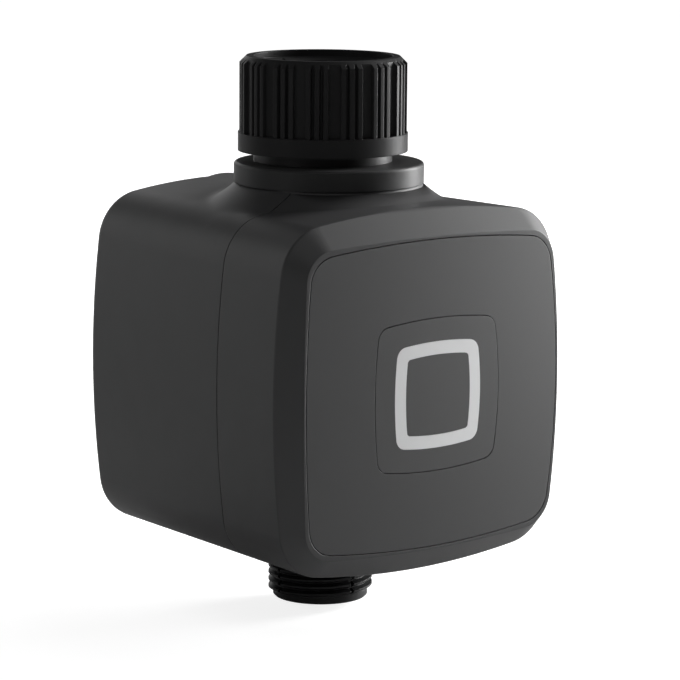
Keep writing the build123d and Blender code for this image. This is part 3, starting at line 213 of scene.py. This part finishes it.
def backdrop():
    """White surroundings for the camera and dim ones for the light."""
    world = bpy.data.worlds.new("studio")
    scene.world = world
    world.use_nodes = True
    tree = world.node_tree
    tree.nodes.clear()
    path = tree.nodes.new("ShaderNodeLightPath")
    seen = add_node(tree, "ShaderNodeBackground", {"Color": WHITE, "Strength": BACKDROP_SEEN})
    dim = add_node(tree, "ShaderNodeBackground", {"Color": WHITE, "Strength": BACKDROP_LIGHT})
    mix = tree.nodes.new("ShaderNodeMixShader")
    out = tree.nodes.new("ShaderNodeOutputWorld")
    tree.links.new(path.outputs["Is Camera Ray"], mix.inputs["Fac"])
    tree.links.new(dim.outputs["Background"], mix.inputs[1])
    tree.links.new(seen.outputs["Background"], mix.inputs[2])
    tree.links.new(mix.outputs["Shader"], out.inputs["Surface"])


def floor_paper():
    """White paper that takes a soft shadow, with a painted glow that only the camera sees: dimmer
    near the object, as painted shade round it, and full white further out.
    """
    material = bpy.data.materials.new("floor_paper")
    material.use_nodes = True
    tree = material.node_tree
    shader = tree.nodes["Principled BSDF"]
    shader.inputs["Base Color"].default_value = FLOOR_COLOR
    shader.inputs["Roughness"].default_value = FLOOR_ROUGHNESS
    shader.inputs["Specular IOR Level"].default_value = 0.0
    # Painted shade: the paper's glow is dimmer near the object than further out
    painted_glow = remap(tree, length_of(tree, object_place(tree)), *PAINTED_SHADE_REACH, *PAINTED_GLOW)
    path = tree.nodes.new("ShaderNodeLightPath")
    tree.links.new(painted_glow, shader.inputs["Emission Color"])
    tree.links.new(path.outputs["Is Camera Ray"], shader.inputs["Emission Strength"])
    return material


def studio_floor():
    """Square of paper a little below the spout."""
    z = cad_box[0][2] - FLOOR_DROP
    half = FLOOR_HALF_WIDTH
    corners = [(-half, -half, z), (half, -half, z), (half, half, z), (-half, half, z)]
    mesh = bpy.data.meshes.new("studio_floor")
    mesh.from_pydata(corners, [], [(0, 1, 2, 3)])
    mesh.materials.append(floor_paper())
    floor = bpy.data.objects.new("studio_floor", mesh)
    scene.collection.objects.link(floor)


backdrop()
studio_floor()
scene.view_settings.view_transform = "Standard"


# Materials: every one is procedural and follows the object's own coordinates

MOTTLE_SCALE, MOTTLE_DETAIL = 55.0, 3.0
GLOSS_SCALE, GLOSS_DETAIL = 140.0, 4.0
GRAIN_DETAIL, GRAIN_ROUGHNESS = 2.0, 0.6
COAT_ROUGHNESS = 0.12
NOISE_LOW, NOISE_HIGH = 0.3, 0.7  # the part of a noise's range that most of it lies in
EDGE_SAMPLES = 6


def noise(tree, scale, detail, roughness=0.5, stretch=None):
    """Noise in the object's coordinates; stretch multiplies them along each axis."""
    values = {"Scale": scale, "Detail": detail, "Roughness": roughness}
    texture = add_node(tree, "ShaderNodeTexNoise", values)
    place = object_place(tree)
    if stretch:
        mapping = add_node(tree, "ShaderNodeMapping", {"Scale": stretch})
        tree.links.new(place, mapping.inputs["Vector"])
        place = mapping.outputs["Vector"]
    tree.links.new(place, texture.inputs["Vector"])
    return texture.outputs["Fac"]


def surface(name, color, roughness, grain=0.02, grain_scale=2600.0, mottle=0.06, edge=0.25,
            metallic=0.0, coat=0.0, specular=0.5, rough_spread=0.06, stretch=None):
    """Moulded or turned surface: mottled colour, uneven gloss, fine grain and softened edges.

    The grain's depth and the edge's radius are in millimetres.
    """
    material = bpy.data.materials.new(name)
    material.use_nodes = True
    tree = material.node_tree
    shader = tree.nodes["Principled BSDF"]
    shader.inputs["Metallic"].default_value = metallic
    shader.inputs["Specular IOR Level"].default_value = specular
    if coat:
        shader.inputs["Coat Weight"].default_value = coat
        shader.inputs["Coat Roughness"].default_value = COAT_ROUGHNESS

    darker = (*[c * (1 - mottle) for c in color], 1)
    lighter = (*[min(1, c * (1 + mottle)) for c in color], 1)
    shade = tree.nodes.new("ShaderNodeMix")
    shade.data_type = "RGBA"
    shade.inputs["A"].default_value = darker
    shade.inputs["B"].default_value = lighter
    tree.links.new(noise(tree, MOTTLE_SCALE, MOTTLE_DETAIL), shade.inputs["Factor"])
    tree.links.new(shade.outputs["Result"], shader.inputs["Base Color"])

    patches = noise(tree, GLOSS_SCALE, GLOSS_DETAIL)
    gloss = (roughness - rough_spread, roughness + rough_spread)
    uneven = remap(tree, patches, NOISE_LOW, NOISE_HIGH, *gloss)
    tree.links.new(uneven, shader.inputs["Roughness"])

    bump = add_node(tree, "ShaderNodeBump", {"Strength": 1.0, "Distance": grain * MM})
    fine = noise(tree, grain_scale, GRAIN_DETAIL, GRAIN_ROUGHNESS, stretch)
    tree.links.new(fine, bump.inputs["Height"])
    if edge:
        rounding = add_node(tree, "ShaderNodeBevel", {"Radius": edge * MM})
        rounding.samples = EDGE_SAMPLES
        tree.links.new(rounding.outputs["Normal"], bump.inputs["Normal"])
    tree.links.new(bump.outputs["Normal"], shader.inputs["Normal"])
    return material


FINISHES = {
    "body_plastic": dict(
        color=(0.036, 0.036, 0.037), roughness=0.5, grain=0.012, mottle=0.015, rough_spread=0.012),
    "plate_plastic": dict(
        color=(0.046, 0.046, 0.047), roughness=0.52, grain=0.01, mottle=0.015, edge=0.15,
        rough_spread=0.01),
    "button_plastic": dict(
        color=(0.05, 0.05, 0.051), roughness=0.52, grain=0.01, mottle=0.015, edge=0.15,
        rough_spread=0.01),
    "nut_plastic": dict(
        color=(0.024, 0.024, 0.0245), roughness=0.4, grain=0.008, mottle=0.03, edge=0.3,
        rough_spread=0.02, specular=0.06),
    "collar_plastic": dict(
        color=(0.035, 0.035, 0.0355), roughness=0.42, grain=0.008, mottle=0.02, edge=0.3,
        rough_spread=0.02, specular=0.15),
    "fitting_plastic": dict(
        color=(0.008, 0.008, 0.0085), roughness=0.42, grain=0.006, mottle=0.03, edge=0.12,
        rough_spread=0.02, specular=0.25),
    "ring_plastic": dict(
        color=(0.8, 0.805, 0.81), roughness=0.45, grain=0.004, mottle=0.01, edge=0.1,
        rough_spread=0.02, specular=0.3),
    "valve_plastic": dict(color=(0.03, 0.03, 0.032), roughness=0.5),
    "pale_plastic": dict(color=(0.6, 0.59, 0.55), roughness=0.42, grain=0.01),
    "tray_plastic": dict(color=(0.03, 0.03, 0.031), roughness=0.5),
    "rubber": dict(color=(0.014, 0.014, 0.014), roughness=0.7, mottle=0.15),
    "clear_rubber": dict(color=(0.5, 0.5, 0.48), roughness=0.55, grain=0.01),
    "steel": dict(
        color=(0.56, 0.56, 0.58), roughness=0.3, metallic=1.0, grain=0.004, mottle=0.04),
    "wire_steel": dict(
        color=(0.62, 0.62, 0.64), roughness=0.22, metallic=1.0, grain=0.002, mottle=0.04, edge=0),
    "magnet": dict(
        color=(0.62, 0.62, 0.64), roughness=0.16, metallic=1.0, grain=0.002, mottle=0.03),
    "brass": dict(
        color=(0.75, 0.55, 0.25), roughness=0.25, metallic=1.0, grain=0.003, mottle=0.05),
    "copper": dict(
        color=(0.66, 0.27, 0.12), roughness=0.3, metallic=1.0, grain=0.06, grain_scale=900.0,
        mottle=0.12, stretch=(0.02, 2.0, 0.02)),
    "lead_cover": dict(color=(0.36, 0.03, 0.02), roughness=0.45, grain=0.01),
    "laminate": dict(color=(0.012, 0.1, 0.04), roughness=0.3, grain=0.01, mottle=0.2, coat=0.4),
    "chip": dict(color=(0.018, 0.018, 0.018), roughness=0.55),
    "can_metal": dict(color=(0.64, 0.65, 0.66), roughness=0.32, metallic=1.0, grain=0.006),
    "lens": dict(color=(0.74, 0.73, 0.64), roughness=0.2, grain=0.002, coat=0.5),
    "cell_cover": dict(color=(0.04, 0.1, 0.13), roughness=0.25, grain=0.003, coat=0.4),
}
LOOKS = {name: surface(name, **finish) for name, finish in FINISHES.items()}

NODES_OF_LOOK = {
    "body_plastic": ("rear_housing", "front_housing", "bulkhead"),
    "plate_plastic": ("face_plate",),
    "button_plastic": ("button_cap",),
    "nut_plastic": ("coupling_nut",),
    "collar_plastic": ("inlet_collar",),
    "fitting_plastic": ("inlet_nipple", "outlet_spout"),
    "ring_plastic": ("light_ring",),
    "valve_plastic": ("valve_block", "valve_bonnet"),
    "pale_plastic": ("filter_frame", "switch_plunger", "poppet", "coil_bobbin"),
    "tray_plastic": ("battery_tray",),
    "rubber": (
        "inlet_washer", "inlet_oring", "outlet_oring", "housing_seal", "diaphragm",
        "plunger_seal"),
    "clear_rubber": ("button_membrane",),
    "steel": (
        "filter_mesh", "board_screws", "tray_screws", "bulkhead_screws", "valve_screws",
        "bonnet_screws", "plunger_tube", "plunger", "pole_piece", "solenoid_yoke"),
    "wire_steel": ("battery_springs", "diaphragm_spring", "plunger_spring"),
    "magnet": ("latch_magnet",),
    "brass": ("battery_contacts", "contact_pins", "contact_pads"),
    "copper": ("solenoid_coil",),
    "lead_cover": ("solenoid_leads",),
    "laminate": ("main_board",),
    "chip": ("switch_body", "control_chip"),
    "can_metal": ("radio_module", "board_capacitors"),
    "lens": ("status_lights",),
    "cell_cover": ("battery_cells",),
}
for look, node_names in NODES_OF_LOOK.items():
    for node_name in node_names:
        node_mesh = nodes[node_name].data
        node_mesh.materials.clear()
        node_mesh.materials.append(LOOKS[look])


# Foot of the flare under the collar: the shading of this edge is rounded further than the others

# In millimetres, where the wider rounding starts and where it is full
FOOT_INSIDE = (22, 26)  # both from the upright axis
FOOT_OUTSIDE = (41, 36)
FOOT_HEIGHT = (-29, -25)
FOOT_FROM_SEAM = (1.5, 9)
SEAM_Y = -13.7
FOOT_RADIUS = 5.0
FOOT_SAMPLES = 10


def soften_foot(material):
    """Widens a material's edge rounding round the foot of the flare, and leaves the seam crisp."""
    tree = material.node_tree
    rounding = next(node for node in tree.nodes if node.bl_idname == "ShaderNodeBevel")
    rounding.samples = FOOT_SAMPLES
    place = object_place(tree)
    flat = tree.nodes.new("ShaderNodeVectorMath")
    flat.operation = "MULTIPLY"
    flat.inputs[1].default_value = (1, 1, 0)
    tree.links.new(place, flat.inputs[0])
    from_axis = length_of(tree, flat.outputs["Vector"])
    split = tree.nodes.new("ShaderNodeSeparateXYZ")
    tree.links.new(place, split.inputs["Vector"])
    behind_seam = calculate(tree, "SUBTRACT", split.outputs["Y"], SEAM_Y * MM)
    from_seam = calculate(tree, "ABSOLUTE", behind_seam)

    mask = None
    for measure, (start, full) in (
            (from_axis, FOOT_INSIDE), (from_axis, FOOT_OUTSIDE),
            (split.outputs["Z"], FOOT_HEIGHT), (from_seam, FOOT_FROM_SEAM)):
        ramp = remap(tree, measure, start * MM, full * MM)
        mask = ramp if mask is None else calculate(tree, "MULTIPLY", mask, ramp)
    edge_radius = rounding.inputs["Radius"].default_value
    radius = remap(tree, mask, 0.0, 1.0, edge_radius, FOOT_RADIUS * MM)
    tree.links.new(radius, rounding.inputs["Radius"])


soften_foot(LOOKS["body_plastic"])


# Pieces put in place of CAD nodes, each parented to a body's empty

COIL_STEPS = 48  # points along one turn of a spring's wire
COIL_SIDES = 12  # and round the wire
CLOSED_COILS = 2  # one at each end
CLOSED_RISE = 2.1  # of a closed coil, in radii of the wire


def place_piece(name, mesh, look, node_name, body):
    """Puts a piece in a CAD node's place, moving with a body, and hides the node.
    """
    piece = bpy.data.objects.new(name, mesh)
    scene.collection.objects.link(piece)
    mesh.materials.clear()
    mesh.materials.append(LOOKS[look])
    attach(piece, body)
    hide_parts(node_name)
    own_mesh(piece)


def coil_mesh(name, node_name, wire_r, open_turns):
    """Compression spring along Y with a closed coil at each end, in the room of a CAD spring.

    The wire's radius is in millimetres.
    """
    low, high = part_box(node_name)
    wire = wire_r * MM
    mean_r = (high[0] - low[0]) / 2 - wire
    center_z = (low[2] + high[2]) / 2
    start = low[1] + wire
    room = high[1] - low[1] - 2 * wire
    closed_rise = CLOSED_RISE * wire
    open_rise = (room - CLOSED_COILS * closed_rise) / open_turns
    turns = open_turns + CLOSED_COILS
    rises = [0.0]
    for step in range(turns * COIL_STEPS):
        turn = step / COIL_STEPS
        closed = turn < 1 or turn >= turns - 1
        rises.append(rises[-1] + (closed_rise if closed else open_rise) / COIL_STEPS)

    grid = bmesh.new()
    along = Vector((0, 1, 0))
    side_angles = [math.tau * side / COIL_SIDES for side in range(COIL_SIDES)]
    rings = []
    for step, rise in enumerate(rises):
        angle = math.tau * step / COIL_STEPS
        outward = Vector((math.cos(angle), 0, math.sin(angle)))
        center = Vector((0, start + rise, center_z)) + outward * mean_r
        rings.append([
            grid.verts.new(center + outward * wire * math.cos(side_angle)
                           + along * wire * math.sin(side_angle))
            for side_angle in side_angles
        ])
    for ring, following in zip(rings, rings[1:]):
        for side in range(COIL_SIDES):
            beside = (side + 1) % COIL_SIDES
            face = grid.faces.new((ring[side], ring[beside], following[beside], following[side]))
            face.smooth = True
    grid.faces.new(reversed(rings[0]))
    grid.faces.new(rings[-1])
    bmesh.ops.recalc_face_normals(grid, faces=grid.faces)
    mesh = bpy.data.meshes.new(name)
    grid.to_mesh(mesh)
    grid.free()
    return mesh


place_piece(
    "plunger_return_spring",
    coil_mesh("plunger_return_spring", "plunger_spring", wire_r=0.25, open_turns=4),
    look="wire_steel", node_name="plunger_spring",
    body="base")
place_piece(
    "diaphragm_return_spring",
    coil_mesh("diaphragm_return_spring", "diaphragm_spring", wire_r=0.3, open_turns=3),
    look="wire_steel", node_name="diaphragm_spring",
    body="base")
place_piece(
    "pressed_membrane",
    nodes["button_membrane"].data.copy(),
    look="clear_rubber", node_name="button_membrane",
    body="control_head")
